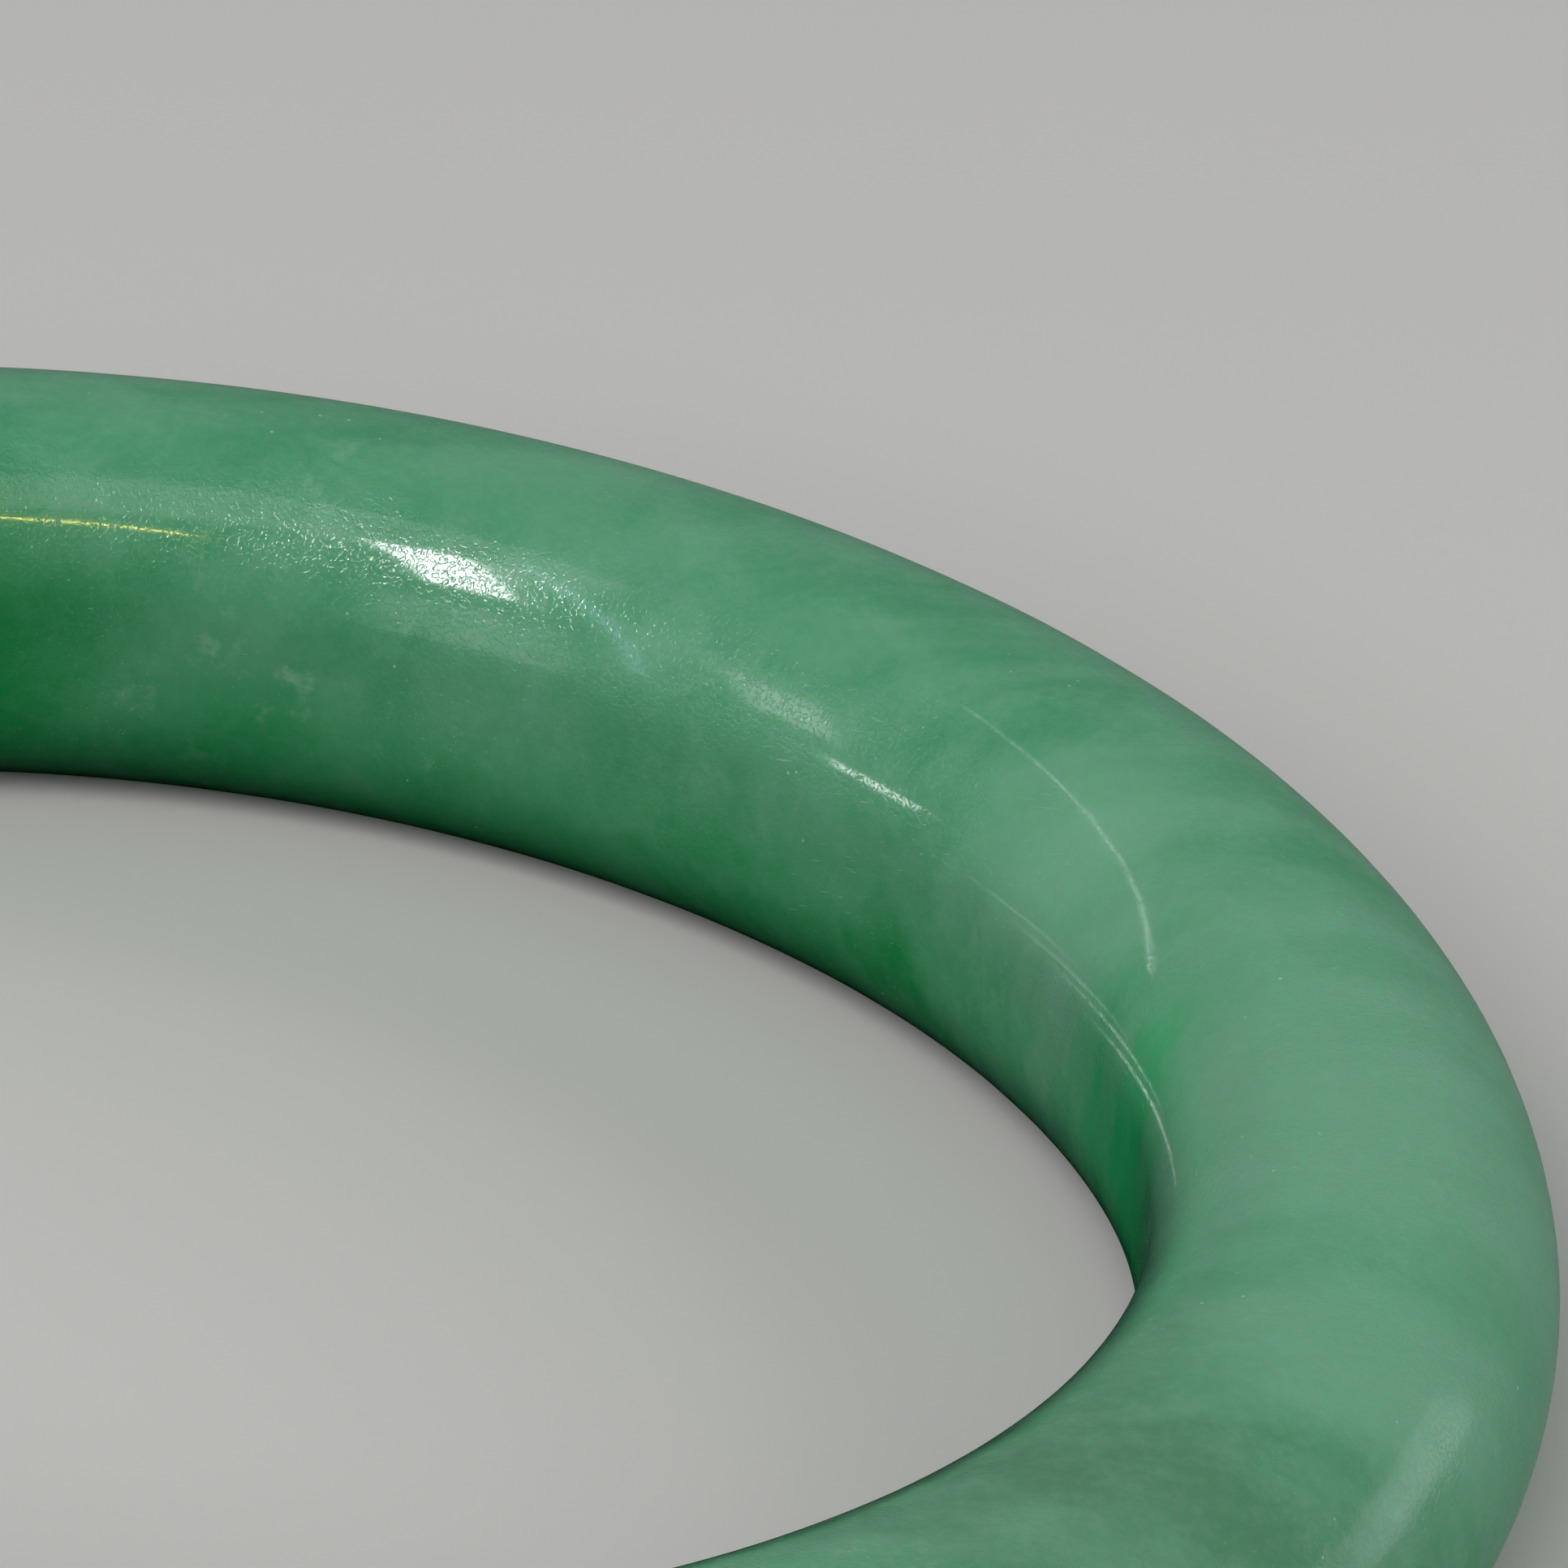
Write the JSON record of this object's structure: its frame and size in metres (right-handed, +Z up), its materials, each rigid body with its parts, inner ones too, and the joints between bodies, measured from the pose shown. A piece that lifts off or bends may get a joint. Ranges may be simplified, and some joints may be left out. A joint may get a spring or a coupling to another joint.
{
  "type": "bangle bracelet",
  "caption": "Solid stone bangle: a closed ring of rounded section that slides over the hand, with a softly rounded bore that sits on the wrist.",
  "frame": {"origin": "centre of the circle on which the ring rests, at the bottom of its box", "axes": "+Z up along the ring's axis; X and Y across the ring, which is the same all the way round"},
  "size_m": [0.077, 0.077, 0.0112],
  "materials": {
    "jade": "polished to a bright gloss, translucent milky green"
  },
  "bodies": {
    "root": {"jade_ring": "jade"}
  },
  "joints": []
}
